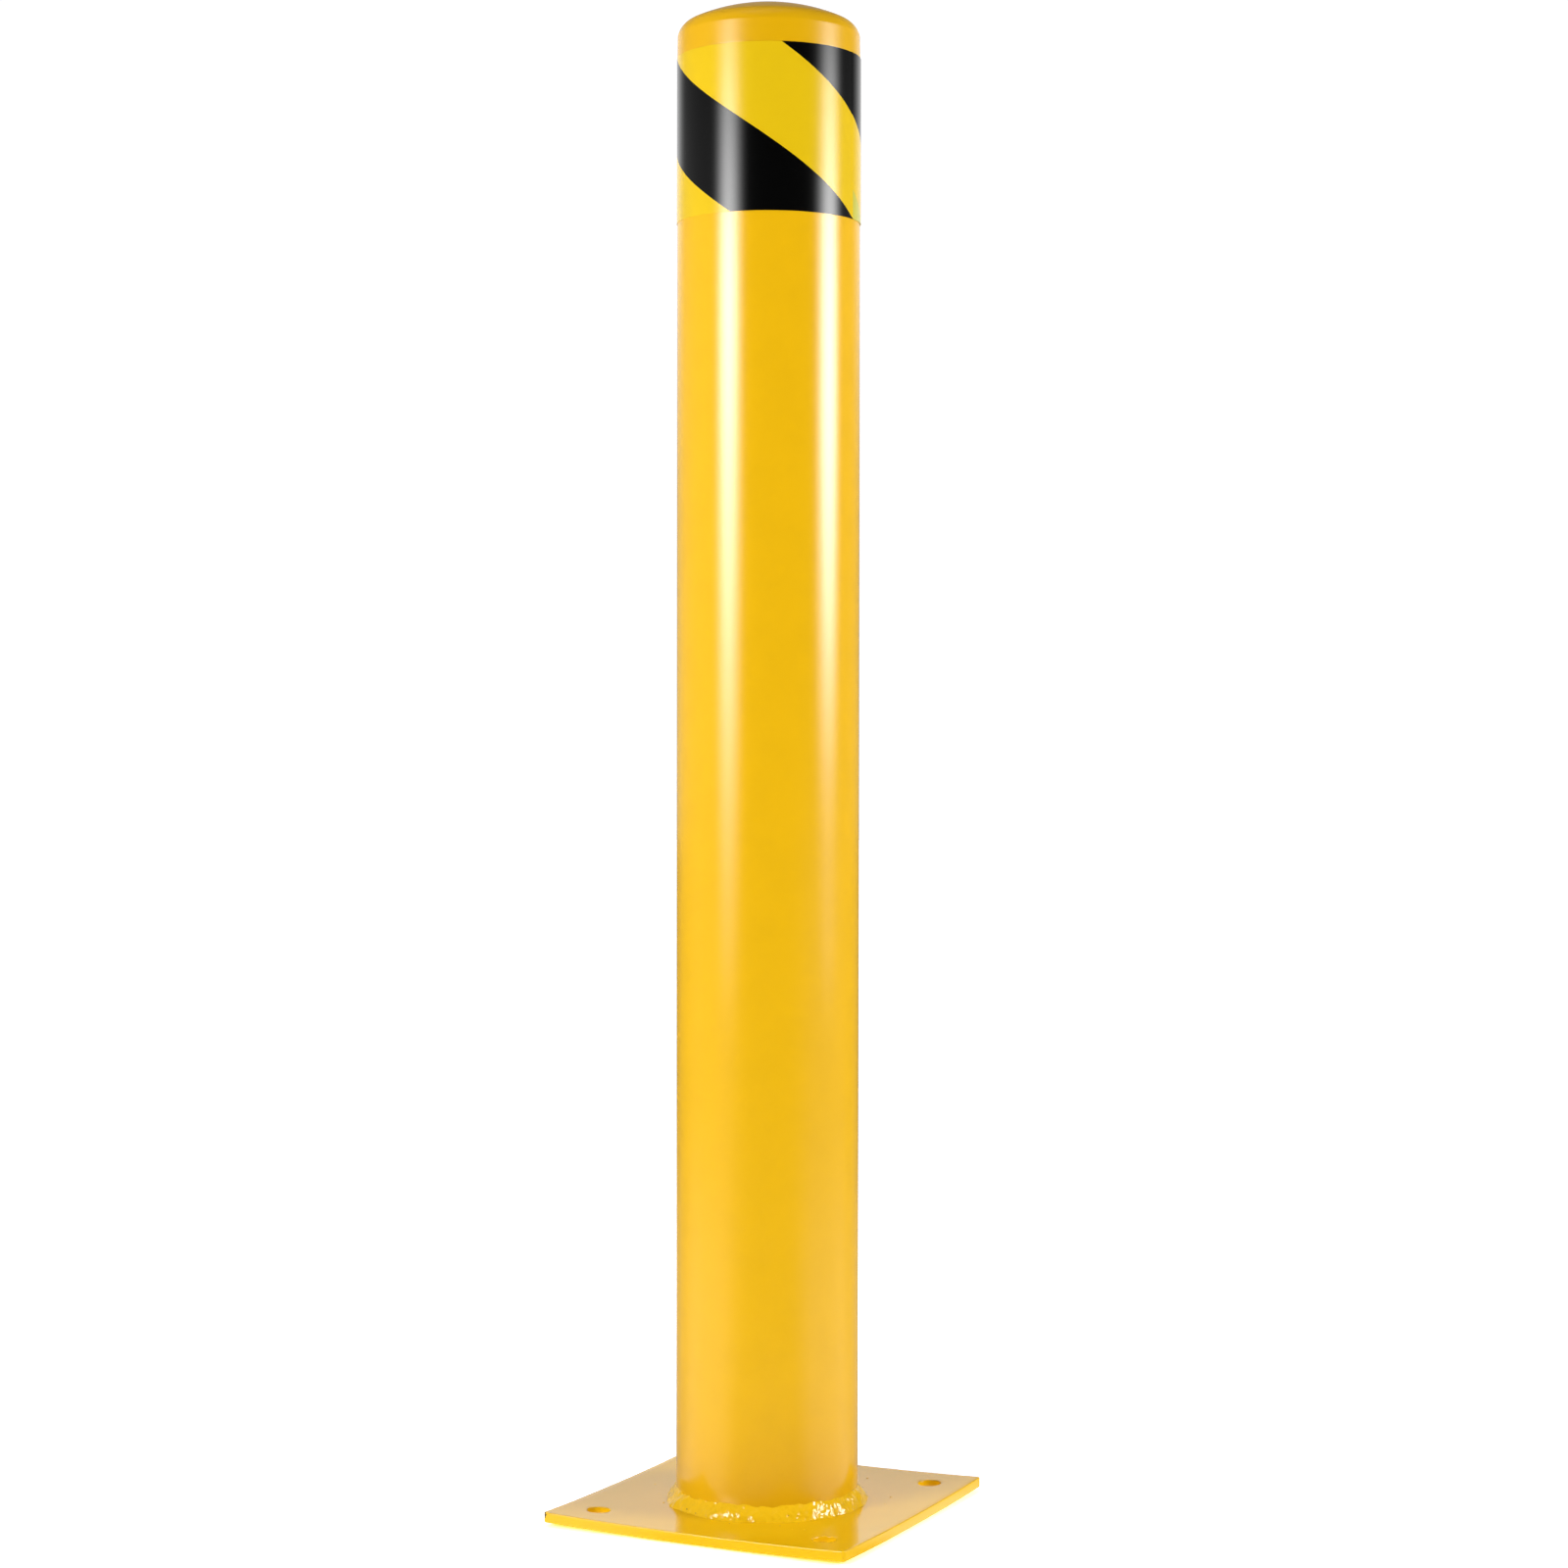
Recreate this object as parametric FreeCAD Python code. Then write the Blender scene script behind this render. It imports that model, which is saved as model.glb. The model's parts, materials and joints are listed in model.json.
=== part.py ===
import FreeCAD, Part
import math
import os

# Steel safety bollard: a capped steel post welded to a square base plate, with a band of hazard
# film round its head. Millimetres. +Z is up, and the origin is the centre of the plate's underside.

Z_AXIS = FreeCAD.Vector(0, 0, 1)
ORIGIN = FreeCAD.Vector(0, 0, 0)

# Base plate
plate_side = 205.0
plate_thickness = 6.35
plate_corner_radius = 1.5
plate_arris_radius = 0.5
hole_radius = 7.2
hole_edge_distance = 25.0      # from a hole's centre to the nearest plate edges

# Post tube
tube_diameter = 114.3
tube_wall = 6.02
tube_length = 901.0
tube_rim_chamfer = 0.4

# Fillet weld at the tube's foot
weld_width = 6.5
weld_height = 9.0
weld_crown = 0.6               # how far the weld's face bulges beyond a flat one

# Hazard film
film_width = 102.4
film_thickness = 0.25
film_top_gap = 0.0             # from the tube's rim down to the film's top edge
inner_end_angle = 1.0          # the film's inner end, in degrees from +X towards +Y
lap_length = 25.0              # how far the film's outer end runs on past its inner end

# Cap
cap_wall_height = 12.0
cap_knuckle_radius = 12.0
cap_crown_radius = 120.0
cap_crown_thickness = 4.0
plug_clearance = 0.3           # between the grip ribs and the tube's bore
plug_depth = 32.0
plug_wall = 3.0
plug_lead_in = 1.5
rib_height = 0.9
rib_width = 1.6
rib_count = 3
rib_first_drop = 7.0           # from the tube's rim down to the top of the first rib
rib_pitch = 8.0

# How far off level an edge may be and still count as lying in one horizontal plane
level_tolerance = 1e-6

# Places worked out from the sizes above
tube_radius = tube_diameter / 2
bore_radius = tube_radius - tube_wall
rim_height = plate_thickness + tube_length
rib_radius = bore_radius - plug_clearance
plug_radius = rib_radius - rib_height
core_radius = plug_radius - plug_wall


def point(radius, height):
    """A point of a half section, in the XZ plane."""
    return FreeCAD.Vector(radius, 0, height)


def revolve_section(edges, degrees=360.0):
    """Turn a closed half section round the post's axis into a solid."""
    section = Part.Face(Part.Wire(edges))
    return section.revolve(ORIGIN, Z_AXIS, degrees)


def line(start, end):
    return Part.LineSegment(start, end).toShape()


def arc(start, middle, end):
    return Part.Arc(start, middle, end).toShape()


def make_base_plate():
    """Square plate with softened corners and four anchor holes."""
    half = plate_side / 2
    plate = Part.makeBox(plate_side, plate_side, plate_thickness, FreeCAD.Vector(-half, -half, 0))
    corners = [edge for edge in plate.Edges if edge.Length < plate_side / 2]
    plate = plate.makeFillet(plate_corner_radius, corners)
    rims = [edge for edge in plate.Edges if edge.BoundBox.ZLength < level_tolerance]
    plate = plate.makeFillet(plate_arris_radius, rims)
    offset = half - hole_edge_distance
    for x in (-offset, offset):
        for y in (-offset, offset):
            hole = Part.makeCylinder(hole_radius, plate_thickness, FreeCAD.Vector(x, y, 0))
            plate = plate.cut(hole)
    return plate


def make_post_tube():
    """Plain round tube standing on the plate, with its cut rim's burr taken off."""
    outer = Part.makeCylinder(tube_radius, tube_length, FreeCAD.Vector(0, 0, plate_thickness))
    bore = Part.makeCylinder(bore_radius, tube_length, FreeCAD.Vector(0, 0, plate_thickness))
    tube = outer.cut(bore)
    rims = [edge for edge in tube.Edges
            if edge.BoundBox.ZMin > rim_height - level_tolerance
            and edge.BoundBox.ZLength < level_tolerance]
    return tube.makeChamfer(tube_rim_chamfer, rims)


def make_base_weld():
    """Fillet weld with a slightly crowned face, all the way round the tube's foot."""
    root = point(tube_radius, plate_thickness)
    toe = point(tube_radius + weld_width, plate_thickness)
    top = point(tube_radius, plate_thickness + weld_height)
    slope = math.hypot(weld_width, weld_height)
    middle = point(tube_radius + weld_width / 2 + weld_crown * weld_height / slope,
                   plate_thickness + weld_height / 2 + weld_crown * weld_width / slope)
    return revolve_section([line(root, toe), arc(toe, middle, top), line(top, root)])


def film_layer(inner_radius, start_degrees, sweep_degrees):
    """One layer of film round part or all of the tube."""
    top = rim_height - film_top_gap
    bottom = top - film_width
    outer_radius = inner_radius + film_thickness
    corners = [point(inner_radius, bottom), point(outer_radius, bottom),
               point(outer_radius, top), point(inner_radius, top)]
    edges = [line(a, b) for a, b in zip(corners, corners[1:] + corners[:1])]
    layer = revolve_section(edges, sweep_degrees)
    layer.rotate(ORIGIN, Z_AXIS, start_degrees)
    return layer


def make_hazard_tape():
    """Self-adhesive film, once round the tube, its outer end carried on over its inner end."""
    ring = film_layer(tube_radius, 0.0, 360.0)
    lap_degrees = math.degrees(lap_length / tube_radius)
    lap = film_layer(tube_radius + film_thickness, inner_end_angle, lap_degrees)
    return ring.fuse(lap).removeSplitter()


def make_top_cap():
    """Domed cap: a crown and shoulder as wide as the tube, on a hollow plug with grip ribs."""
    knuckle_height = rim_height + cap_wall_height
    knuckle_centre_radius = tube_radius - cap_knuckle_radius
    crown_reach = cap_crown_radius - cap_knuckle_radius
    crown_centre_height = knuckle_height - math.sqrt(crown_reach ** 2 - knuckle_centre_radius ** 2)
    crown_tilt = math.asin(knuckle_centre_radius / crown_reach)   # from the axis to the tangent point

    def on_crown(radius, tilt):
        return point(radius * math.sin(tilt), crown_centre_height + radius * math.cos(tilt))

    def on_knuckle(tilt):
        return point(knuckle_centre_radius + cap_knuckle_radius * math.sin(tilt),
                     knuckle_height + cap_knuckle_radius * math.cos(tilt))

    plug_bottom = rim_height - plug_depth
    inner_crown_radius = cap_crown_radius - cap_crown_thickness
    core_tilt = math.asin(core_radius / inner_crown_radius)
    edges = [
        line(point(core_radius, plug_bottom), point(plug_radius - plug_lead_in, plug_bottom)),
        line(point(plug_radius - plug_lead_in, plug_bottom),
             point(plug_radius, plug_bottom + plug_lead_in)),
        line(point(plug_radius, plug_bottom + plug_lead_in), point(plug_radius, rim_height)),
        line(point(plug_radius, rim_height), point(tube_radius, rim_height)),
        line(point(tube_radius, rim_height), point(tube_radius, knuckle_height)),
        arc(on_knuckle(math.pi / 2), on_knuckle((math.pi / 2 + crown_tilt) / 2),
            on_knuckle(crown_tilt)),
        arc(on_crown(cap_crown_radius, crown_tilt), on_crown(cap_crown_radius, crown_tilt / 2),
            on_crown(cap_crown_radius, 0.0)),
        line(on_crown(cap_crown_radius, 0.0), on_crown(inner_crown_radius, 0.0)),
        arc(on_crown(inner_crown_radius, 0.0), on_crown(inner_crown_radius, core_tilt / 2),
            on_crown(inner_crown_radius, core_tilt)),
        line(on_crown(inner_crown_radius, core_tilt), point(core_radius, plug_bottom)),
    ]
    cap = revolve_section(edges)
    for index in range(rib_count):
        cap = cap.fuse(make_grip_rib(rim_height - rib_first_drop - index * rib_pitch))
    return cap


def make_grip_rib(top):
    """Barbed ring: a square shoulder above, and a slope below that leads into the bore."""
    bury = plug_wall / 2
    corners = [point(plug_radius - bury, top), point(rib_radius, top),
               point(rib_radius, top - rib_width / 2), point(plug_radius, top - rib_width),
               point(plug_radius - bury, top - rib_width)]
    return revolve_section([line(a, b) for a, b in zip(corners, corners[1:] + corners[:1])])


parts = {
    "base_plate": make_base_plate(),
    "post_tube": make_post_tube(),
    "base_weld": make_base_weld(),
    "hazard_tape": make_hazard_tape(),
    "top_cap": make_top_cap(),
}

os.makedirs("parts", exist_ok=True)
for name, shape in parts.items():
    solids = shape.Solids
    if len(solids) != 1 or not shape.isValid():
        raise SystemExit(f"{name}: expected one valid solid, found {len(solids)}")
    shape.exportStep(os.path.join("parts", name + ".step"))
    box = shape.optimalBoundingBox(False)
    print(f"{name}: {shape.Volume / 1000:.1f} cm3, z {box.ZMin:.2f} to {box.ZMax:.2f}")
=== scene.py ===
# %% [markdown]
# # A painted steel safety bollard
# A bollard is a short post that stops a vehicle before a wall or a person does. This one is a steel
# tube welded to a square plate, coated yellow all over, with a band of striped film round its head
# and a domed cap pushed into its mouth. The frame that comes with it already has the true sizes, so
# this lesson only has to make the surfaces look right, and never moves anything.

# %% Load the frame
import json
import math

import bmesh
import bpy
from mathutils import Matrix, Vector


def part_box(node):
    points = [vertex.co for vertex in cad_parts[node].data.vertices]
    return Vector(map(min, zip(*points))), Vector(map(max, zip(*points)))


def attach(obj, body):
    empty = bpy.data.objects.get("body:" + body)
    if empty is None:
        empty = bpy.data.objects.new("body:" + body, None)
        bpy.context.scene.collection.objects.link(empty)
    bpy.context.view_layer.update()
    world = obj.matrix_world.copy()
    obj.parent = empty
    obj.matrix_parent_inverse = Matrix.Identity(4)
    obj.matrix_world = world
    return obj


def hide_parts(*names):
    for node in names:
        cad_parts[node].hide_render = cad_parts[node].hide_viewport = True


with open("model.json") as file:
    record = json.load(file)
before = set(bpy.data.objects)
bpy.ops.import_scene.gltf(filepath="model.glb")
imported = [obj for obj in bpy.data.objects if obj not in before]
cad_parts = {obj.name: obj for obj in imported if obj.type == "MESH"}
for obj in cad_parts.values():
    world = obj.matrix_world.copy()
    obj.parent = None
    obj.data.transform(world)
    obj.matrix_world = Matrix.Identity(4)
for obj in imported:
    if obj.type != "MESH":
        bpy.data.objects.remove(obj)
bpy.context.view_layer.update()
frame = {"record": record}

# %% [markdown]
# ## Sizes
# Every place is taken from the frame's own boxes, so a change to the design carries through. Only
# what a box can't tell, such as a wall's thickness or a corner's rounding, is written here.

# %% Sizes and places
MM = 0.001

plate_low, plate_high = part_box("base_plate")
film_low, film_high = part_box("hazard_tape")
tube_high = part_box("post_tube")[1]
weld_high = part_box("base_weld")[1]
cap_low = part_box("top_cap")[0]

tube_radius = tube_high.x
rim_height = tube_high.z
plate_top = plate_high.z
plate_half = plate_high.x
tube_wall = 6.02 * MM
bore_radius = tube_radius - tube_wall
corner_lift = 2.2 * MM
print("tube radius", round(tube_radius / MM, 2), "mm, rim at", round(rim_height / MM, 2), "mm")

# %% [markdown]
# ## Helpers for turned shapes
# Most of the post is round, so the quickest true shape is half an outline spun about the post's axis.
# A helper makes the rings of points itself instead of using the Spin tool, because then the seam is
# closed from the start and the pole at the middle of the cap is a single point.

# %% Turned shapes
RING_STEPS = 256
TINY = 1e-6


def arc_points(centre_radius, centre_height, radius, start, end, steps):
    """Points of an arc in the half section, with angles in degrees from straight outwards."""
    angles = [math.radians(start + (end - start) * i / steps) for i in range(steps + 1)]
    return [(centre_radius + radius * math.cos(a), centre_height + radius * math.sin(a))
            for a in angles]


def make_piece(name, bm, materials, sharp_degrees=40):
    """Turn worked geometry into a linked, smoothly shaded object at the origin."""
    mesh = bpy.data.meshes.new(name)
    bm.to_mesh(mesh)
    bm.free()
    for material in materials:
        mesh.materials.append(material)
    mesh.shade_smooth()
    mesh.set_sharp_from_angle(angle=math.radians(sharp_degrees))
    piece = bpy.data.objects.new(name, mesh)
    bpy.context.scene.collection.objects.link(piece)
    return piece


def turn(name, outline, materials, bands=None, steps=RING_STEPS, closed=True):
    """Spin an outline of (radius, height) points. bands gives a material number to some bands."""
    bm = bmesh.new()
    rings = []
    for radius, height in outline:
        count = 1 if radius < TINY else steps
        rings.append([bm.verts.new((radius * math.cos(math.tau * i / steps),
                                    radius * math.sin(math.tau * i / steps), height))
                      for i in range(count)])
    pairs = list(zip(rings, rings[1:]))
    if closed:
        pairs.append((rings[-1], rings[0]))
    for band, (first, second) in enumerate(pairs):
        for i in range(steps):
            j = (i + 1) % steps
            corners = [first[i % len(first)], first[j % len(first)],
                       second[j % len(second)], second[i % len(second)]]
            face = bm.faces.new(list(dict.fromkeys(corners)))
            face.material_index = (bands or {}).get(band, 0)
    bmesh.ops.recalc_face_normals(bm, faces=bm.faces)
    return make_piece(name, bm, materials)


# %% [markdown]
# ## Helpers for materials
# A material is a small graph of nodes. These helpers keep the wiring short: one starts a material
# from its plain shader, and most of the others add one node, feed it, and hand back its output.

# %% Material wiring
def start_material(name, colour, roughness, metallic=0.0):
    """A new material, its tree and its shader, before anything is wired."""
    material = bpy.data.materials.new(name)
    material.use_nodes = True
    shader = material.node_tree.nodes["Principled BSDF"]
    shader.inputs["Base Color"].default_value = (*colour, 1)
    shader.inputs["Roughness"].default_value = roughness
    shader.inputs["Metallic"].default_value = metallic
    return material, material.node_tree, shader


def feed(tree, socket, value):
    """Link a socket to another, or set it to a plain value."""
    if isinstance(value, bpy.types.NodeSocket):
        tree.links.new(value, socket)
    else:
        socket.default_value = value


def maths(tree, operation, *values):
    node = tree.nodes.new("ShaderNodeMath")
    node.operation = operation
    for socket, value in zip(node.inputs, values):
        feed(tree, socket, value)
    return node.outputs[0]


def vector_maths(tree, operation, *values):
    node = tree.nodes.new("ShaderNodeVectorMath")
    node.operation = operation
    for socket, value in zip(node.inputs, values):
        feed(tree, socket, value)
    return node.outputs["Vector" if operation == "NORMALIZE" else "Value"]


def split_xyz(tree, vector):
    node = tree.nodes.new("ShaderNodeSeparateXYZ")
    tree.links.new(vector, node.inputs[0])
    return node.outputs


def smooth_step(tree, value, low, high):
    """0 below low and 1 above high, with a soft change between."""
    node = tree.nodes.new("ShaderNodeMapRange")
    node.interpolation_type = "SMOOTHSTEP"
    feed(tree, node.inputs["Value"], value)
    node.inputs["From Min"].default_value = low
    node.inputs["From Max"].default_value = high
    return node.outputs["Result"]


def between(tree, share, first, last):
    """first where the share is 0, last where it is 1, and in proportion between."""
    return maths(tree, "MULTIPLY_ADD", share, last - first, first)


def mix_colours(tree, share, first, second):
    node = tree.nodes.new("ShaderNodeMix")
    node.data_type = "RGBA"
    feed(tree, node.inputs[0], share)
    for socket, colour in ((node.inputs[6], first), (node.inputs[7], second)):
        feed(tree, socket, colour if isinstance(colour, bpy.types.NodeSocket) else (*colour, 1))
    return node.outputs[2]


def place(tree, scale=(1, 1, 1)):
    """Object coordinates, stretched by scale."""
    source = tree.nodes.new("ShaderNodeTexCoord")
    mapping = tree.nodes.new("ShaderNodeMapping")
    mapping.inputs["Scale"].default_value = scale
    tree.links.new(source.outputs["Object"], mapping.inputs["Vector"])
    return mapping.outputs["Vector"]


def noise(tree, vector, grain, detail=2.0):
    """Noise whose grains are about this many metres across."""
    node = tree.nodes.new("ShaderNodeTexNoise")
    tree.links.new(vector, node.inputs["Vector"])
    node.inputs["Scale"].default_value = 1 / grain
    node.inputs["Detail"].default_value = detail
    return node.outputs["Fac"]


def bump(tree, shader, height, depth):
    """Shade the surface as if it rose by up to this many metres where height is 1."""
    node = tree.nodes.new("ShaderNodeBump")
    node.inputs["Distance"].default_value = depth
    tree.links.new(height, node.inputs["Height"])
    tree.links.new(node.outputs["Normal"], shader.inputs["Normal"])


# %% [markdown]
# ## Powder coat
# The steel is sprayed with dry paint powder and baked, which leaves a thick, glossy skin with the
# faint dimples called orange peel. The gloss matters more than the colour: the flat plate mirrors the
# post. So the roughness is low, and the dimples are a shallow bump about three millimetres across.
# It is one coat, but this room leaves the plate and the weld a little dark, so theirs is painted
# paler, as painted light.

# %% Powder coat
COAT_YELLOW = (0.746, 0.419, 0.004)
# Paler copies of the one coat: painted light on the plate and the weld, standing in for light the
# lamps don't give them.
PLATE_COAT_PAINTED_LIGHTER = (0.80, 0.468, 0.004)
WELD_COAT_PAINTED_LIGHTER = (0.88, 0.53, 0.008)
CHIP_BROWN = (0.05, 0.03, 0.018)
cloud_size = 25 * MM
cloud_shade = 0.975
dimple_size = 3 * MM
chip_centre = (-plate_half, -plate_half, plate_top + corner_lift - 1.5 * MM)
chip_edge = (1.0 * MM, 1.3 * MM)
chip_grain = 1.2 * MM
chip_raggedness = 2.2 * MM


def make_powder_coat(name, yellow, roughness, peel_depth, with_chip=False):
    """A glossy coat with faint clouds and dimples, and where asked a chip at one plate corner."""
    material, tree, shader = start_material(name, yellow, roughness)
    cloud = noise(tree, place(tree), cloud_size, 3.0)
    deeper = [cloud_shade * share for share in yellow]
    colour = mix_colours(tree, smooth_step(tree, cloud, 0.35, 0.75), yellow, deeper)
    if with_chip:
        distance = vector_maths(tree, "DISTANCE", place(tree), chip_centre)
        ragged = maths(tree, "MULTIPLY", noise(tree, place(tree), chip_grain), chip_raggedness)
        edge = maths(tree, "SUBTRACT", distance, ragged)
        bare = maths(tree, "SUBTRACT", 1.0, smooth_step(tree, edge, *chip_edge))
        colour = mix_colours(tree, bare, colour, CHIP_BROWN)
    tree.links.new(colour, shader.inputs["Base Color"])
    bump(tree, shader, noise(tree, place(tree), dimple_size, 1.0), peel_depth)
    return material


coat_on_tube = make_powder_coat("powder_coat_tube", COAT_YELLOW, 0.15, 0.02 * MM)
coat_on_plate = make_powder_coat("powder_coat_plate", PLATE_COAT_PAINTED_LIGHTER, 0.13, 0.006 * MM, with_chip=True)
coat_on_weld = make_powder_coat("powder_coat_weld", WELD_COAT_PAINTED_LIGHTER, 0.09, 0.004 * MM)
print("powder coats:", coat_on_tube.name, coat_on_plate.name, coat_on_weld.name)

# %% [markdown]
# ## Bare bore
# Powder only drifts a little way into the tube's mouth. Below that the bore is dark mill scale, the
# skin that steel has from the rolling mill, so the yellow fades out with depth.

# %% Bare bore
BORE_GREY = (0.08, 0.075, 0.07)
SCALE_DARK = (0.045, 0.042, 0.045)
SCALE_BROWN = (0.12, 0.095, 0.075)
powder_drift = 30 * MM
powder_fade = (rim_height - 30 * MM, rim_height + 10 * MM)

bare_bore, tree, shader = start_material("bare_bore", BORE_GREY, 0.55, metallic=0.5)
streaks = noise(tree, place(tree, (1, 1, 0.3)), 9 * MM, 4.0)
height = maths(tree, "ADD", split_xyz(tree, place(tree))["Z"],
               maths(tree, "MULTIPLY", streaks, powder_drift))
coated = smooth_step(tree, height, *powder_fade)
mottle = noise(tree, place(tree), 14 * MM, 5.0)
scale_colour = mix_colours(tree, mottle, SCALE_DARK, SCALE_BROWN)
tree.links.new(mix_colours(tree, coated, scale_colour, COAT_YELLOW), shader.inputs["Base Color"])
bump(tree, shader, noise(tree, place(tree), 1.5 * MM, 4.0), 0.05 * MM)
print(bare_bore.name, len(tree.nodes), "nodes")

# %% [markdown]
# ## Post tube
# The tube was sawn to length and its burr knocked off, so its rim has a tiny rounding. A plain turned
# outline gives that, and its bore is a second material. The long wall is cut into short rings, because
# smooth shading blends a face from edge to edge: on one tall face, the rim's rounding would bend the
# gloss all the way down to the floor.

# %% Post tube
rim_rounding = 0.4 * MM
rounding_steps = 4
ring_spacing = 20 * MM
last_ring_drop = 1.5 * MM
ring_count = int((rim_height - plate_top) / ring_spacing)
levels = [plate_top + ring_spacing * i for i in range(ring_count + 1)]
levels.append(rim_height - last_ring_drop)
rounding_height = rim_height - rim_rounding
tube_outline = [(tube_radius, level) for level in levels]
tube_outline += arc_points(tube_radius - rim_rounding, rounding_height, rim_rounding,
                           0, 90, rounding_steps)
tube_outline += arc_points(bore_radius + rim_rounding, rounding_height, rim_rounding,
                           90, 180, rounding_steps)
first_bore_band = len(tube_outline) - 1
tube_outline += [(bore_radius, level) for level in reversed(levels)]
bore_bands = {band: 1 for band in range(first_bore_band, len(tube_outline) - 1)}
post = turn("painted_post_tube", tube_outline, [coat_on_tube, bare_bore], bands=bore_bands)
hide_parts("post_tube")
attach(post, "post")
print(post.name, len(post.data.polygons), "faces")

# %% [markdown]
# ## Base plate
# The plate is flame-cut, drilled, welded and then coated, so its edges and hole mouths are softened by
# paint, and the weld's shrinkage draws its corners up by a couple of millimetres. A flat curve with
# holes in it, extruded and bevelled, rounds every edge at once. The sheet is then cut into small
# squares so that it has enough points to bend.

# %% Plate outline
bolts = next(m for m in frame["record"]["mounts"] if m["name"] == "anchor_bolts")["dims"]
hole_offset = bolts["spacing_x_mm"] / 2 * MM
hole_radius = bolts["hole_r_mm"] * MM
hole_steps = 48
arris = 0.7 * MM
corner_rounding = 1.5 * MM
corner_steps = 6


def add_loop(curve, points):
    spline = curve.splines.new("POLY")
    spline.points.add(len(points) - 1)
    for target, (x, y) in zip(spline.points, points):
        target.co = (x, y, 0, 1)
    spline.use_cyclic_u = True


def circle_points(x, y, radius, steps):
    angles = [math.tau * i / steps for i in range(steps)]
    return [(x + radius * math.cos(a), y + radius * math.sin(a)) for a in angles]


plate_curve = bpy.data.curves.new("plate_outline", "CURVE")
plate_curve.dimensions = "2D"
plate_curve.fill_mode = "BOTH"
plate_curve.extrude = (plate_top - plate_low.z) / 2 - arris
plate_curve.bevel_depth = arris
plate_curve.bevel_resolution = 3
inset = plate_half - arris - corner_rounding
outline = []
for quarter, (sx, sy) in enumerate(((1, 1), (-1, 1), (-1, -1), (1, -1))):
    outline += arc_points(sx * inset, sy * inset, corner_rounding,
                          90 * quarter, 90 * quarter + 90, corner_steps)
add_loop(plate_curve, outline)
for sx in (-1, 1):
    for sy in (-1, 1):
        add_loop(plate_curve, circle_points(sx * hole_offset, sy * hole_offset,
                                            hole_radius + arris, hole_steps))
plate_source = bpy.data.objects.new("plate_source", plate_curve)
bpy.context.scene.collection.objects.link(plate_source)
flat_plate = bpy.data.meshes.new_from_object(plate_source)
bpy.data.objects.remove(plate_source)
print("plate outline with holes of", round(hole_radius / MM, 2), "mm radius")

# %% Base plate
cut_spacing = 5 * MM

bm = bmesh.new()
bm.from_mesh(flat_plate)
bmesh.ops.translate(bm, verts=bm.verts, vec=(0, 0, (plate_top + plate_low.z) / 2))
bmesh.ops.remove_doubles(bm, verts=bm.verts, dist=TINY)
cuts = int(2 * plate_half / cut_spacing)
for axis in (Vector((1, 0, 0)), Vector((0, 1, 0))):
    for i in range(1, cuts):
        at = axis * (-plate_half + 2 * plate_half * i / cuts)
        bmesh.ops.bisect_plane(bm, geom=bm.verts[:] + bm.edges[:] + bm.faces[:], plane_co=at,
                               plane_no=axis, dist=TINY)
flat_radius = weld_high.x
corner_radius = plate_half * math.sqrt(2)
for vert in bm.verts:
    out = max(0.0, math.hypot(vert.co.x, vert.co.y) - flat_radius) / (corner_radius - flat_radius)
    vert.co.z += corner_lift * out ** 2
bmesh.ops.recalc_face_normals(bm, faces=bm.faces)
plate = make_piece("painted_base_plate", bm, [coat_on_plate], sharp_degrees=50)
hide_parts("base_plate")
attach(plate, "post")
print(plate.name, len(plate.data.polygons), "faces, corners lifted", corner_lift / MM, "mm")

# %% [markdown]
# ## Geometry Nodes helpers
# The weld and what it spat out repeat and wander, which is work for Geometry Nodes: a graph that
# builds shape instead of colour. Each graph has named inputs, so a size is changed in one place, and
# when it is done its result is kept as a plain mesh.

# %% Geometry Nodes helpers
def new_graph(name, inputs):
    """A geometry graph with the named inputs, each (socket type, value)."""
    graph = bpy.data.node_groups.new(name, "GeometryNodeTree")
    graph.interface.new_socket("Geometry", in_out="INPUT", socket_type="NodeSocketGeometry")
    for label, (kind, value) in inputs.items():
        graph.interface.new_socket(label, in_out="INPUT", socket_type=kind)
    graph.interface.new_socket("Geometry", in_out="OUTPUT", socket_type="NodeSocketGeometry")
    return graph, graph.nodes.new("NodeGroupInput"), graph.nodes.new("NodeGroupOutput")


def run_graph(piece, graph, inputs):
    """Put the graph on a piece, set its inputs, and keep its result as a plain mesh."""
    modifier = piece.modifiers.new(graph.name, "NODES")
    modifier.node_group = graph
    for item in graph.interface.items_tree:
        if item.in_out == "INPUT" and item.name in inputs:
            modifier[item.identifier] = inputs[item.name][1]
    depsgraph = bpy.context.evaluated_depsgraph_get()
    result = bpy.data.meshes.new_from_object(piece.evaluated_get(depsgraph))
    piece.modifiers.clear()
    piece.data = result
    result.shade_smooth()
    return piece


def end_graph(graph, geometry, given, result):
    """Turn any instances into a plain mesh, give it the graph's material, and send it out."""
    realize = graph.nodes.new("GeometryNodeRealizeInstances")
    graph.links.new(geometry, realize.inputs[0])
    painted = graph.nodes.new("GeometryNodeSetMaterial")
    graph.links.new(realize.outputs[0], painted.inputs["Geometry"])
    graph.links.new(given.outputs["Material"], painted.inputs["Material"])
    graph.links.new(painted.outputs[0], result.inputs[0])


# %% [markdown]
# ## Weld bead
# The welder laid a fillet by hand round the tube's foot. A molten pool freezes in overlapping lumps,
# so the bead is uneven along its length and its toe wanders on the plate. A turned fillet, buried a
# little in the plate and the tube, is pushed in and out along its own normals: broad lumps from one
# noise, the frozen pools from cells, and a fine grain that makes it sparkle under gloss paint.

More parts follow.
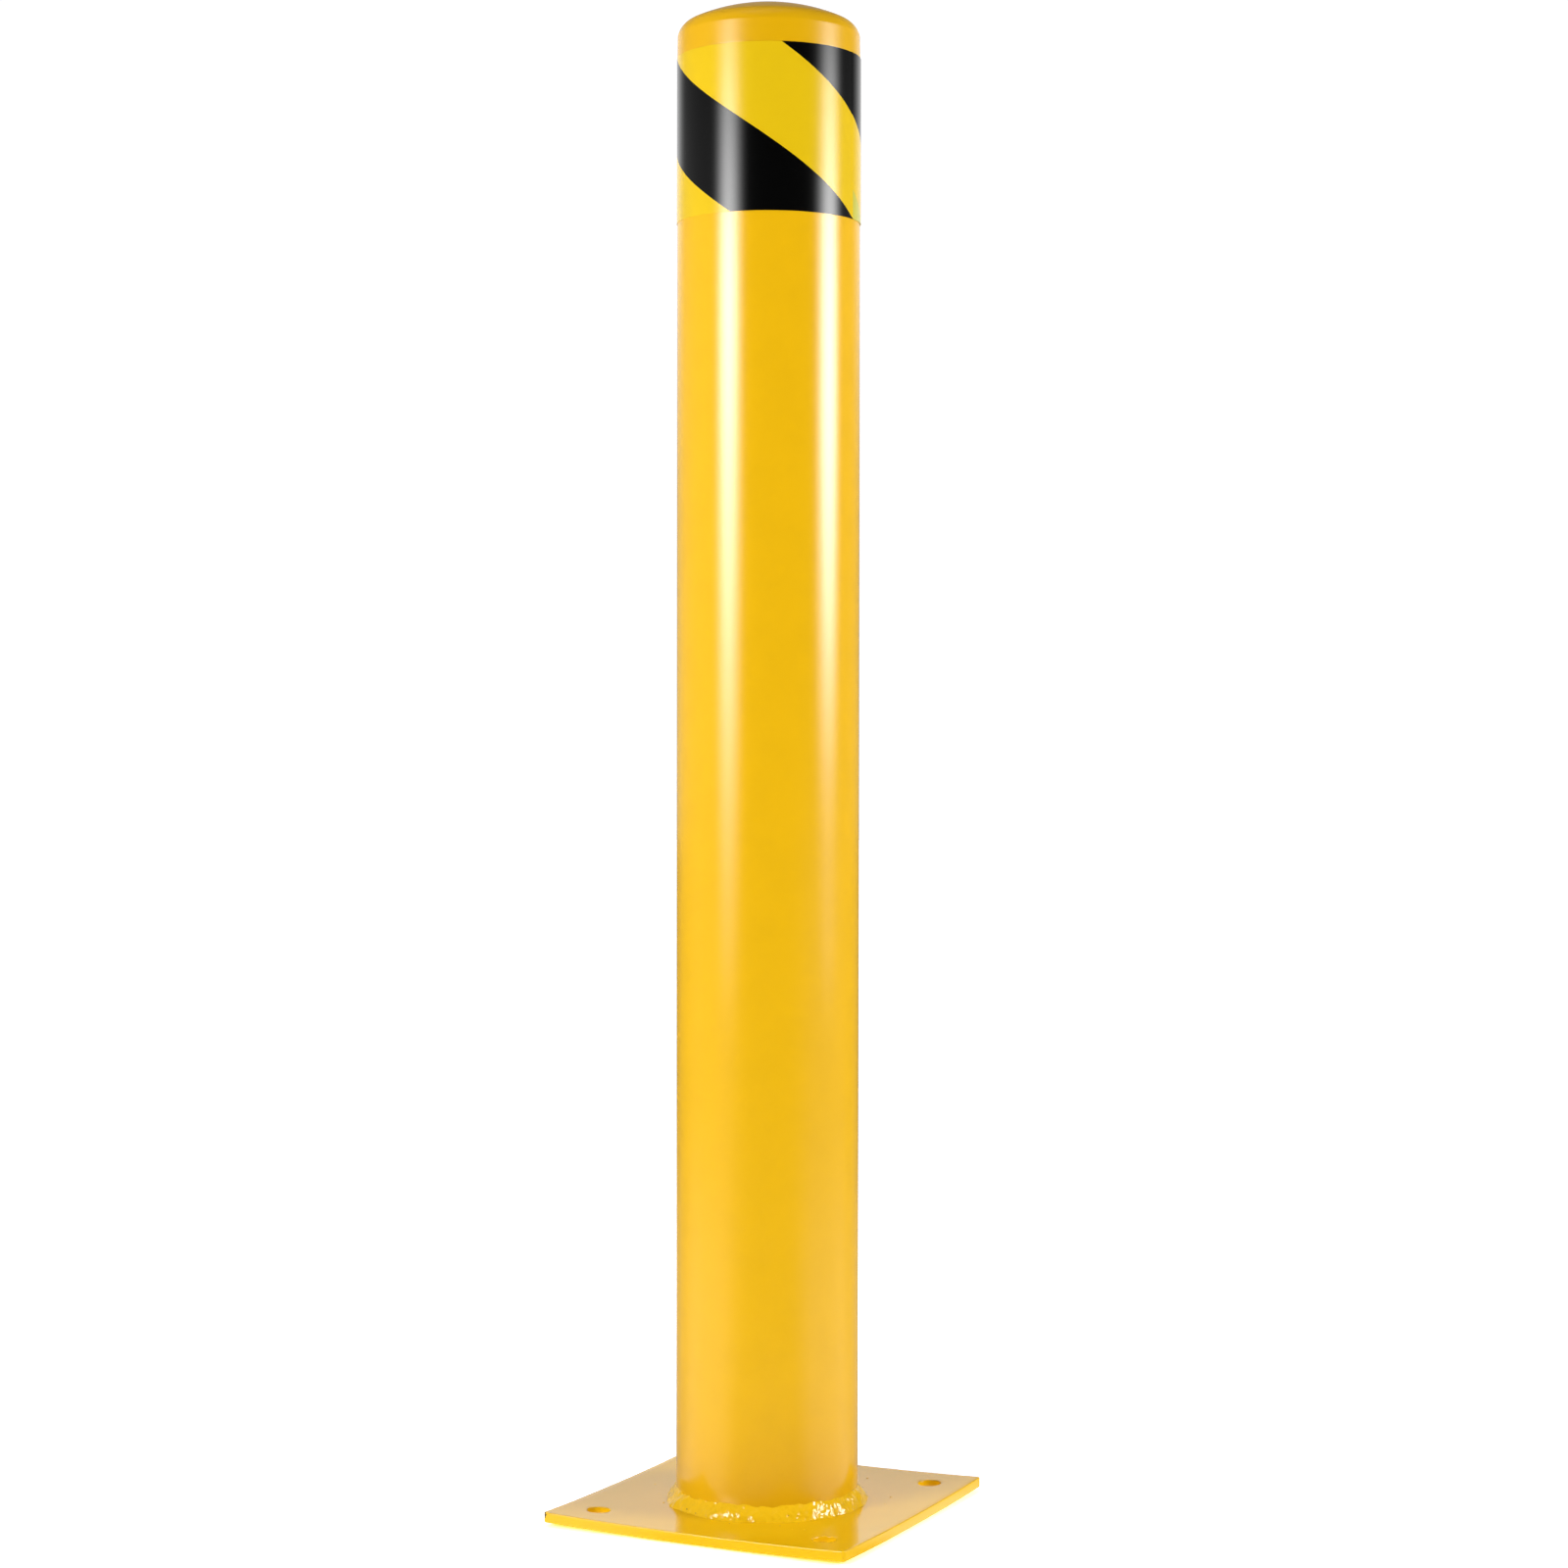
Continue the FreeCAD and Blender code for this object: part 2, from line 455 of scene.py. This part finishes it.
# %% Weld graph
weld_inputs = {
    "Lump Size": ("NodeSocketFloat", 17 * MM),
    "Lump Height": ("NodeSocketFloat", 3.6 * MM),
    "Pool Size": ("NodeSocketFloat", 9 * MM),
    "Pool Height": ("NodeSocketFloat", 1.0 * MM),
    "Grain Size": ("NodeSocketFloat", 3.6 * MM),
    "Grain Height": ("NodeSocketFloat", 1.5 * MM),
    "Material": ("NodeSocketMaterial", coat_on_weld),
}
graph, given, result = new_graph("lumpy_weld", weld_inputs)


def graph_noise(kind, size_socket):
    """A noise or cell pattern as large as one of the graph's named sizes."""
    node = graph.nodes.new(kind)
    feed(graph, node.inputs["Scale"], maths(graph, "DIVIDE", 1.0, given.outputs[size_socket]))
    return node.outputs[0]


def raised(pattern, height_socket):
    return maths(graph, "MULTIPLY", pattern, given.outputs[height_socket])


pool_middle = 0.45
lumps = maths(graph, "SUBTRACT", graph_noise("ShaderNodeTexNoise", "Lump Size"), 0.5)
pools = maths(graph, "SUBTRACT", pool_middle, graph_noise("ShaderNodeTexVoronoi", "Pool Size"))
grain = maths(graph, "SUBTRACT", graph_noise("ShaderNodeTexNoise", "Grain Size"), 0.5)
finer = maths(graph, "ADD", raised(pools, "Pool Height"), raised(grain, "Grain Height"))
push = maths(graph, "ADD", raised(lumps, "Lump Height"), finer)
along_normal = graph.nodes.new("ShaderNodeVectorMath")
along_normal.operation = "SCALE"
graph.links.new(graph.nodes.new("GeometryNodeInputNormal").outputs[0], along_normal.inputs[0])
graph.links.new(push, along_normal.inputs["Scale"])
shift = graph.nodes.new("GeometryNodeSetPosition")
graph.links.new(given.outputs["Geometry"], shift.inputs["Geometry"])
graph.links.new(along_normal.outputs[0], shift.inputs["Offset"])
end_graph(graph, shift.outputs[0], given, result)
print(graph.name, len(graph.nodes), "nodes")

# %% Weld bead
bury = 2.5 * MM
weld_width = weld_high.x - tube_radius
weld_height = weld_high.z - plate_top
weld_crown = 0.5 * MM
weld_hollow = 1.4
face_steps = 22
bead_steps = 960
weld_outline = [(tube_radius - bury, plate_top - bury)]
for i in range(face_steps + 1):
    share = i / face_steps
    crown = weld_crown * math.sin(math.pi * share)
    weld_outline.append((tube_radius + weld_width * (1 - share) + crown,
                         plate_top + weld_height * share ** weld_hollow + crown))
weld_outline.append((tube_radius - bury, plate_top + weld_height))
weld = turn("lumpy_weld_bead", weld_outline, [coat_on_weld], steps=bead_steps)
run_graph(weld, graph, weld_inputs)
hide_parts("base_weld")
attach(weld, "post")
print(weld.name, len(weld.data.polygons), "faces")

# %% [markdown]
# ## Spatter and pinholes
# Sparks from the weld freeze on the plate as small beads that the coat then covers, and here and there
# the coat has a dark pinhole, on the plate and on the bead itself. All are small dots thrown at random
# on a ring round the weld or on the bead, so one graph scatters them, and only the shape of the dot,
# its material and what it lands on differ.

# %% Dot graph
def dot_graph(name, inputs):
    """A graph that scatters flattened balls of random size over whatever it is given."""
    graph, given, result = new_graph("scattered_" + name, inputs)
    points = graph.nodes.new("GeometryNodeDistributePointsOnFaces")
    graph.links.new(given.outputs["Geometry"], points.inputs["Mesh"])
    graph.links.new(given.outputs["Density"], points.inputs["Density"])
    graph.links.new(given.outputs["Seed"], points.inputs["Seed"])
    ball = graph.nodes.new("GeometryNodeMeshIcoSphere")
    ball.inputs["Radius"].default_value = 1.0
    ball.inputs["Subdivisions"].default_value = 2
    size = graph.nodes.new("FunctionNodeRandomValue")
    size.data_type = "FLOAT"
    graph.links.new(given.outputs["Smallest"], size.inputs[2])
    graph.links.new(given.outputs["Largest"], size.inputs[3])
    graph.links.new(given.outputs["Seed"], size.inputs["Seed"])
    scale = graph.nodes.new("ShaderNodeCombineXYZ")
    squat = maths(graph, "MULTIPLY", size.outputs[1], given.outputs["Flatness"])
    for socket, length in zip(scale.inputs, (size.outputs[1], size.outputs[1], squat)):
        graph.links.new(length, socket)
    dots = graph.nodes.new("GeometryNodeInstanceOnPoints")
    graph.links.new(points.outputs["Points"], dots.inputs["Points"])
    graph.links.new(ball.outputs["Mesh"], dots.inputs["Instance"])
    graph.links.new(scale.outputs[0], dots.inputs["Scale"])
    end_graph(graph, dots.outputs[0], given, result)
    return graph


# %% Spatter and pinholes
def scatter_dots(name, material, density, smallest, largest, flatness, seed, reach=None):
    """Dots on a ring of this reach round the weld, or without a reach on the bead itself."""
    inputs = {
        "Density": ("NodeSocketFloat", density),
        "Smallest": ("NodeSocketFloat", smallest),
        "Largest": ("NodeSocketFloat", largest),
        "Flatness": ("NodeSocketFloat", flatness),
        "Seed": ("NodeSocketInt", seed),
        "Material": ("NodeSocketMaterial", material),
    }
    graph = dot_graph(name, inputs)
    if reach:
        ring = [(weld_high.x, plate_top), (weld_high.x + reach, plate_top)]
        piece = turn(name, ring, [material], steps=96, closed=False)
    else:
        piece = bpy.data.objects.new(name, weld.data.copy())
        bpy.context.scene.collection.objects.link(piece)
    run_graph(piece, graph, inputs)
    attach(piece, "post")
    print(name, len(piece.data.polygons), "faces")


RUST_BROWN = (0.12, 0.06, 0.02)
pinhole_brown, tree, shader = start_material("pinhole_brown", CHIP_BROWN, 0.6)
speck = mix_colours(tree, noise(tree, place(tree), 0.6 * MM), CHIP_BROWN, RUST_BROWN)
tree.links.new(speck, shader.inputs["Base Color"])
scatter_dots("weld_spatter", coat_on_weld, density=2600, smallest=0.25 * MM, largest=0.75 * MM,
             flatness=0.6, seed=7, reach=22 * MM)
scatter_dots("coat_pinholes", pinhole_brown, density=5200, smallest=0.2 * MM, largest=0.55 * MM,
             flatness=0.25, seed=3, reach=7 * MM)
scatter_dots("weld_pinholes", pinhole_brown, density=2600, smallest=0.2 * MM, largest=0.5 * MM,
             flatness=0.7, seed=5)

# %% [markdown]
# ## Hazard film
# The film is one length of glossy tape, printed with slanting black bars and wound once round. Its
# outer end rides over its inner end, which leaves a faint ridge, and the ink of the hidden end shows
# through the yellow as a dull green patch. The strip is made along its own length, so its map's first
# number is the distance along the tape and the bars are straight lines on that map.

# %% Hazard film
film_thickness = 0.25 * MM
film_lift = 0.01 * MM
inner_end_degrees = 1.0
lap_degrees = math.degrees(25 * MM / tube_radius)
bridge_degrees = 2.5
back_end_degrees = 207.0
bar_slope = 0.69
bar_pitch = 124.4 * MM
bar_width = 61.2 * MM
inner_bar_height = 18.45 * MM
back_stretch = 1.135


def along_film(degrees):
    """Distance printed along the film, from its inner end to this angle about the post."""
    turned = degrees - inner_end_degrees
    back = back_end_degrees - inner_end_degrees
    stretched = min(turned, back) * back_stretch + max(turned - back, 0.0)
    return math.radians(stretched) * tube_radius


def film_ride(degrees):
    """How far the film stands off the tube where it climbs over its own inner end."""
    climb = (degrees - (inner_end_degrees + 360 - bridge_degrees)) / bridge_degrees
    climb = min(max(climb, 0.0), 1.0)
    return film_lift + film_thickness * climb * climb * (3 - 2 * climb)


bm = bmesh.new()
map_layer = bm.loops.layers.uv.new("along_and_up")
film_steps = 720
film_bottom, film_top = film_low.z, film_high.z
sections = []
for i in range(film_steps + 1):
    degrees = inner_end_degrees + (360 + lap_degrees) * i / film_steps
    inner = tube_radius + film_ride(degrees)
    angle = math.radians(degrees)
    corners = [(inner, film_bottom), (inner + film_thickness, film_bottom),
               (inner + film_thickness, film_top), (inner, film_top)]
    ring = [bm.verts.new((r * math.cos(angle), r * math.sin(angle), z)) for r, z in corners]
    sections.append((ring, along_film(degrees)))
for (first, first_along), (second, second_along) in zip(sections, sections[1:]):
    for k in range(4):
        n = (k + 1) % 4
        face = bm.faces.new((first[k], second[k], second[n], first[n]))
        for loop, along in zip(face.loops, (first_along, second_along, second_along, first_along)):
            loop[map_layer].uv = (along, loop.vert.co.z - film_bottom)
for corners, along in (sections[0], sections[-1]):
    face = bm.faces.new(corners)
    for loop in face.loops:
        loop[map_layer].uv = (along, loop.vert.co.z - film_bottom)
bmesh.ops.recalc_face_normals(bm, faces=bm.faces)
print("film strip of", len(bm.faces), "faces,", round(sections[-1][1] / MM, 1), "mm of print")

# %% [markdown]
# ## Printed bars
# A bar is where a slanting line's distance, divided by the pitch, has a small remainder. The same sum
# with the inner end's own distance says where the hidden ink lies, and only tints the yellow.

# %% Printed bars
FILM_YELLOW = (0.69, 0.457, 0.006)
FILM_BLACK = (0.001, 0.001, 0.001)
FILM_GREEN = (0.50, 0.47, 0.055)

hazard_film, tree, shader = start_material("hazard_film", FILM_YELLOW, 0.17)
film_map = tree.nodes.new("ShaderNodeUVMap")
film_map.uv_map = "along_and_up"
print_map = split_xyz(tree, film_map.outputs["UV"])
ink_blur = 0.1 * MM
lap_blur = 0.2 * MM
film_shine = 0.34


def bar_mask(distance):
    """1 on a black bar and 0 on the yellow, with a slightly soft edge."""
    height = maths(tree, "ADD", print_map["Y"], maths(tree, "MULTIPLY", distance, bar_slope))
    turns = maths(tree, "DIVIDE", maths(tree, "SUBTRACT", inner_bar_height, height), bar_pitch)
    into_bar = maths(tree, "MULTIPLY", maths(tree, "FRACT", turns), bar_pitch)
    rise = smooth_step(tree, into_bar, 0.0, ink_blur)
    fall = smooth_step(tree, into_bar, bar_width, bar_width + ink_blur)
    return maths(tree, "SUBTRACT", rise, fall)


lap_start = along_film(inner_end_degrees + 360)
over_lap = smooth_step(tree, print_map["X"], lap_start, lap_start + lap_blur)
past_lap = maths(tree, "SUBTRACT", print_map["X"], lap_start)
under_distance = maths(tree, "MULTIPLY", past_lap, back_stretch)
hidden_ink = maths(tree, "MULTIPLY", over_lap, bar_mask(under_distance))
yellow = mix_colours(tree, hidden_ink, FILM_YELLOW, FILM_GREEN)
tree.links.new(mix_colours(tree, bar_mask(print_map["X"]), yellow, FILM_BLACK),
               shader.inputs["Base Color"])
shader.inputs["Specular IOR Level"].default_value = film_shine
bump(tree, shader, noise(tree, place(tree, (1, 1, 9)), 4 * MM, 3.0), 0.008 * MM)

film = make_piece("striped_hazard_film", bm, [hazard_film])
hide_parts("hazard_tape")
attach(film, "post")
print(film.name, len(film.data.polygons), "faces, lap", round(lap_degrees, 1), "degrees")

# %% [markdown]
# ## Cap
# The cap is moulded plastic: a low dome on a wall as wide as the tube, with a hollow plug below that
# pushes into the bore. Its wall leans in a hair so that it leaves the mould, and ends in a crisp line
# where the dome's rounding starts. One turned outline makes it all, with a little moulding nub at the
# middle of its underside, where the plastic ran in.

# %% Cap plastic
CAP_YELLOW = (0.70, 0.385, 0.002)
CAP_DEEPER = (0.672, 0.363, 0.002)
cap_plastic, tree, shader = start_material("cap_plastic", CAP_YELLOW, 0.24)
flow = noise(tree, place(tree), 40 * MM, 3.0)
tree.links.new(mix_colours(tree, flow, CAP_YELLOW, CAP_DEEPER), shader.inputs["Base Color"])
bump(tree, shader, noise(tree, place(tree), 0.9 * MM, 2.0), 0.006 * MM)
print(cap_plastic.name, len(tree.nodes), "nodes")

# %% Cap sizes
wall_height = 12 * MM
knuckle_radius = 12 * MM
crown_radius = 120 * MM
crown_thickness = 4 * MM
plug_clearance = 0.3 * MM
rib_height = 0.9 * MM
plug_wall = 3 * MM
lead_in = 1.5 * MM
lip_rounding = 0.35 * MM
shoulder_break = 11
nub_radius = 3 * MM
nub_height = 0.8 * MM
nub_taper = 0.85

rib_radius = bore_radius - plug_clearance
plug_radius = rib_radius - rib_height
core_radius = plug_radius - plug_wall
knuckle_height = rim_height + wall_height
crown_reach = crown_radius - knuckle_radius
knuckle_centre = tube_radius - knuckle_radius
crown_centre = knuckle_height - math.sqrt(crown_reach ** 2 - knuckle_centre ** 2)
crown_edge = 90 - math.degrees(math.asin(knuckle_centre / crown_reach))
inner_crown = crown_radius - crown_thickness
core_edge = 90 - math.degrees(math.asin(core_radius / inner_crown))
nub_edge = 90 - math.degrees(math.asin(nub_radius / inner_crown))

print("crown meets the knuckle", round(crown_edge, 1), "degrees above level")

# %% Cap
nub_level = crown_centre + inner_crown - nub_height
cap_outline = [(0, nub_level), (nub_radius * nub_taper, nub_level)]
cap_outline += arc_points(0, crown_centre, inner_crown, nub_edge, core_edge, 18)
cap_outline += [(core_radius, cap_low.z), (plug_radius - lead_in, cap_low.z),
                (plug_radius, cap_low.z + lead_in), (plug_radius, rim_height)]
cap_outline += arc_points(tube_radius - lip_rounding, rim_height + lip_rounding, lip_rounding,
                          -90, 0, 4)
shoulder = arc_points(knuckle_centre, knuckle_height, knuckle_radius, shoulder_break, crown_edge, 18)

# Rings close to both ends of the wall, and just past the crisp line, keep the gloss flat between.
wall_foot, wall_top, past_break = Vector(cap_outline[-1]), Vector(shoulder[0]), Vector(shoulder[1])
for share in (0.03, 0.5, 0.98):
    cap_outline.append(tuple(wall_foot.lerp(wall_top, share)))
cap_outline += [shoulder[0], tuple(wall_top.lerp(past_break, 0.2))]
cap_outline += shoulder[1:]
cap_outline += arc_points(0, crown_centre, crown_radius, crown_edge, 90, 28)[1:-1]
cap_outline.append((0, crown_centre + crown_radius))
cap = turn("moulded_top_cap", cap_outline, [cap_plastic], closed=False)
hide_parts("top_cap")
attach(cap, "cap")
print(cap.name, len(cap.data.polygons), "faces, top at", round(cap_outline[-1][1] / MM, 2), "mm")

# %% [markdown]
# ## Grip ribs
# Three barbed rings round the plug hold the cap in the tube. They are the same ring at an even pitch,
# so one is turned and a graph sets copies of it in a row down the plug.

# %% Grip ribs
rib_width = 1.6 * MM
first_drop = 7 * MM
rib_inputs = {
    "Count": ("NodeSocketInt", 3),
    "Pitch": ("NodeSocketFloat", 8 * MM),
    "Material": ("NodeSocketMaterial", cap_plastic),
}
graph, given, result = new_graph("rows_of_ribs", rib_inputs)
row = graph.nodes.new("GeometryNodeMeshLine")
step = graph.nodes.new("ShaderNodeCombineXYZ")
graph.links.new(maths(graph, "MULTIPLY", given.outputs["Pitch"], -1.0), step.inputs[2])
graph.links.new(given.outputs["Count"], row.inputs["Count"])
graph.links.new(step.outputs[0], row.inputs["Offset"])
copies = graph.nodes.new("GeometryNodeInstanceOnPoints")
graph.links.new(row.outputs[0], copies.inputs["Points"])
graph.links.new(given.outputs["Geometry"], copies.inputs["Instance"])
end_graph(graph, copies.outputs[0], given, result)

rib_top = rim_height - first_drop
rib_root = plug_radius - plug_wall / 2
rib_outline = [(rib_root, rib_top), (rib_radius, rib_top), (rib_radius, rib_top - rib_width / 2),
               (plug_radius, rib_top - rib_width), (rib_root, rib_top - rib_width)]
ribs = turn("cap_grip_ribs", rib_outline, [cap_plastic])
run_graph(ribs, graph, rib_inputs)
ribs.data.set_sharp_from_angle(angle=math.radians(30))
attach(ribs, "cap")
print(ribs.name, len(ribs.data.polygons), "faces")

# %% [markdown]
# ## Camera
# The camera stands level with the middle of the post and a little to one side of a corner of the
# plate, close enough for the plate to open out below it and for the film's edges to arch above it.

# %% Camera
camera_azimuth = math.radians(26.721)
camera_distance = 1.95
camera_height = 0.4889
camera_pitch = math.radians(-0.978)
camera_yaw = math.radians(0.296)
camera_roll = math.radians(0.078)

ahead = Vector((math.sin(camera_yaw) * math.cos(camera_pitch),
                math.cos(camera_yaw) * math.cos(camera_pitch), math.sin(camera_pitch)))
right = Vector((math.cos(camera_yaw), -math.sin(camera_yaw), 0))
up = right.cross(ahead)
rolled_right = math.cos(camera_roll) * right + math.sin(camera_roll) * up
rolled_up = math.cos(camera_roll) * up - math.sin(camera_roll) * right
aim = Matrix((rolled_right, rolled_up, -ahead)).transposed().to_4x4()
stand = Matrix.Translation((0, -camera_distance, camera_height))
camera_data = bpy.data.cameras.new("camera")
camera_data.lens = 71.39
camera = bpy.data.objects.new("camera", camera_data)
camera.matrix_world = Matrix.Rotation(camera_azimuth, 4, "Z") @ stand @ aim
bpy.context.scene.collection.objects.link(camera)
bpy.context.scene.camera = camera
towards_camera = Vector((math.sin(camera_azimuth), -math.cos(camera_azimuth), 0))
to_the_left = Vector((-math.cos(camera_azimuth), -math.sin(camera_azimuth), 0))
print("camera at", [round(v, 3) for v in camera.matrix_world.translation],
      "lens", round(camera_data.lens, 2), "mm")

# %% [markdown]
# ## Floor
# The floor is pale and brightly lit, so it fades into the white surroundings without a line. A glow
# that grows away from the post does that, and the plate still drops a soft shadow close by. Low on
# the post the gloss mirrors this floor and no lamp. So in reflections only, the floor is bright out to
# the sides, which carries both streaks down to the weld, and nearly dark towards the camera.

# %% Floor
floor_radius = 12.0
floor_drop = 0.5 * MM
paleness = 0.85
camera_lift = 0.95

floor_white, tree, shader = start_material("floor_white", (paleness, paleness, paleness), 0.8)
shader.inputs["Specular IOR Level"].default_value = 0.0
ray = tree.nodes.new("ShaderNodeLightPath").outputs
shine = maths(tree, "MULTIPLY_ADD", ray["Is Camera Ray"], camera_lift, paleness)
shine = maths(tree, "MULTIPLY_ADD", ray["Is Glossy Ray"], -paleness, shine)
grey = tree.nodes.new("ShaderNodeCombineColor")
for socket in grey.inputs[:3]:
    tree.links.new(shine, socket)
tree.links.new(grey.outputs[0], shader.inputs["Base Color"])
bm = bmesh.new()
bmesh.ops.create_circle(bm, cap_ends=True, segments=96, radius=floor_radius)
bmesh.ops.translate(bm, verts=bm.verts, vec=(0, 0, -floor_drop))
floor = make_piece("pale_floor", bm, [floor_white])
print(floor.name, "across", round(floor.dimensions.x, 2), "m")

# %% Floor's glow
# Distances are from the post's axis, and front is 1 towards the camera and -1 straight behind.
distance = vector_maths(tree, "LENGTH", place(tree))
front = vector_maths(tree, "DOT_PRODUCT", vector_maths(tree, "NORMALIZE", place(tree)), towards_camera)
far = smooth_step(tree, distance, 0.15, 0.8)
not_in_front = maths(tree, "SUBTRACT", 1.0, smooth_step(tree, front, 0.5, 0.95))
not_behind = smooth_step(tree, front, -0.6, -0.1)
beside = maths(tree, "MULTIPLY", not_in_front, between(tree, not_behind, 0.35, 1.0))
fade = between(tree, smooth_step(tree, distance, 0.5, 2.2), 1.0, 0.4)
close_by = between(tree, smooth_step(tree, distance, 0.3, 0.8), 0.16, 0.0)
in_gloss = maths(tree, "MAXIMUM", close_by, maths(tree, "MULTIPLY", beside, fade))

bounce = maths(tree, "MULTIPLY", ray["Is Diffuse Ray"], between(tree, far, 0.72, 0.30))
mirrored = maths(tree, "MULTIPLY", ray["Is Glossy Ray"], in_gloss)
plain = maths(tree, "MULTIPLY", ray["Is Camera Ray"], far)
glow = maths(tree, "ADD", maths(tree, "ADD", bounce, mirrored), plain)
shader.inputs["Emission Color"].default_value = (1, 1, 1, 1)
tree.links.new(glow, shader.inputs["Emission Strength"])
floor_white.cycles.emission_sampling = "NONE"
print(floor_white.name, len(tree.nodes), "nodes")

# %% [markdown]
# ## Soft lights
# Two upright panels draw the two streaks of gloss down the post, a wide one at the front left and one
# out at the right. A real diffuser is brightest in its middle and fades towards its edges and its
# foot, so each panel's own light is graded the same way, and the streaks fade out down the post.

# %% Soft lights
panel_distance = 1.7


def hang_light(name, lamp, spot, target):
    """Put a lamp at a spot and turn it towards a target."""
    light = bpy.data.objects.new(name, lamp)
    light.location = spot
    light.rotation_euler = (target - spot).to_track_quat("-Z", "Y").to_euler()
    bpy.context.scene.collection.objects.link(light)
    return light


def add_soft_light(name, from_camera_degrees, width, low, high, radiance, foot_fade, head_fade):
    """An upright soft panel facing the post. The fades are heights between which its light changes."""
    angle = camera_azimuth + math.radians(from_camera_degrees)
    panel = bpy.data.lights.new(name, "AREA")
    panel.shape = "RECTANGLE"
    panel.size = width
    panel.size_y = high - low
    panel.energy = radiance * math.pi * width * (high - low)
    panel.use_nodes = True
    tree = panel.node_tree
    where = tree.nodes.new("ShaderNodeNewGeometry").outputs["Position"]
    height = split_xyz(tree, where)["Z"]
    rise = smooth_step(tree, height, *foot_fade)
    fall = maths(tree, "SUBTRACT", 1.0, smooth_step(tree, height, *head_fade))
    side = vector_maths(tree, "DOT_PRODUCT", where, (math.cos(angle), math.sin(angle), 0))
    across = maths(tree, "ABSOLUTE", side)
    bell = maths(tree, "SUBTRACT", 1.0, smooth_step(tree, across, 0.02 * width, 0.5 * width))
    streak = maths(tree, "MULTIPLY", bell, between(tree, bell, 0.1, 1.0))
    upright = between(tree, maths(tree, "MULTIPLY", rise, fall), 0.05, 1.0)
    tree.links.new(maths(tree, "MULTIPLY", streak, upright), tree.nodes["Emission"].inputs["Strength"])
    middle = (low + high) / 2
    spot = Vector((math.sin(angle) * panel_distance, -math.cos(angle) * panel_distance, middle))
    hang_light(name, panel, spot, Vector((0, 0, middle)))
    print(name, "power", round(panel.energy, 1), "W")


add_soft_light("wide_left_panel", -50, width=1.6, low=0.2, high=1.44, radiance=24.5,
               foot_fade=(0.22, 1.10), head_fade=(0.98, 1.40))
add_soft_light("right_panel", 80, width=1.7, low=0.2, high=1.48, radiance=21,
               foot_fade=(0.34, 0.90), head_fade=(1.0, 1.42))

# %% Overhead fill
# It lights the cap's crown and the plate. Reflections don't find it, so it leaves no glint of its own.
fill_side = camera_azimuth - math.radians(25)
fill_reach = 0.3
fill_height = 3.2
fill = bpy.data.lights.new("overhead_fill", "AREA")
fill.shape = "SQUARE"
fill.size = 1.2
fill.energy = 20
fill_spot = Vector((fill_reach * math.sin(fill_side), -fill_reach * math.cos(fill_side), fill_height))
fill_light = hang_light("overhead_fill", fill, fill_spot, Vector((0, 0, 0.2)))
fill_light.visible_glossy = False
print(fill_light.name, "power", fill.energy, "W")

# %% [markdown]
# ## Room
# The room is dark on the side that the camera looks from, so the yellow facing it stays deep, and
# dim at the sides, most of all higher up. It is bright behind the post, where the flat plate mirrors
# it. Higher up there, reflections find it dim again, which keeps the cap's far edge from turning pale.
# What the camera sees of it directly is always white.

# %% Room
darkest = 0.02
behind_brightness = 0.85
camera_white = 1.05

room = bpy.data.worlds.new("bright_room")
bpy.context.scene.world = room
room.use_nodes = True
tree = room.node_tree
outlook = tree.nodes.new("ShaderNodeTexCoord").outputs["Generated"]
away = vector_maths(tree, "DOT_PRODUCT", outlook, -towards_camera)
leftward = vector_maths(tree, "DOT_PRODUCT", outlook, to_the_left)
rising = split_xyz(tree, outlook)["Z"]
ray = tree.nodes.new("ShaderNodeLightPath").outputs

left_wall = between(tree, smooth_step(tree, leftward, -0.2, 0.6), 0.22, 0.42)
low_wall = between(tree, smooth_step(tree, rising, 0.16, 0.24), 1.0, 0.3)
to_side = maths(tree, "MULTIPLY", smooth_step(tree, away, -0.75, -0.1),
                maths(tree, "MULTIPLY", left_wall, low_wall))
behind_post = maths(tree, "MULTIPLY", smooth_step(tree, away, 0.6, 0.9),
                    smooth_step(tree, rising, 0.06, 0.2))
dark_above = maths(tree, "MULTIPLY", smooth_step(tree, rising, 0.29, 0.42), ray["Is Glossy Ray"])
behind_post = maths(tree, "MULTIPLY", behind_post, between(tree, dark_above, 1.0, 0.2))
level = maths(tree, "ADD", maths(tree, "ADD", to_side, darkest),
              maths(tree, "MULTIPLY", behind_post, behind_brightness))
seen = maths(tree, "MULTIPLY", ray["Is Camera Ray"], camera_white)

background = tree.nodes["Background"]
background.inputs["Color"].default_value = (1, 1, 1, 1)
tree.links.new(maths(tree, "MAXIMUM", level, seen), background.inputs["Strength"])
bpy.context.scene.view_settings.view_transform = "Standard"
print(room.name, len(tree.nodes), "nodes")
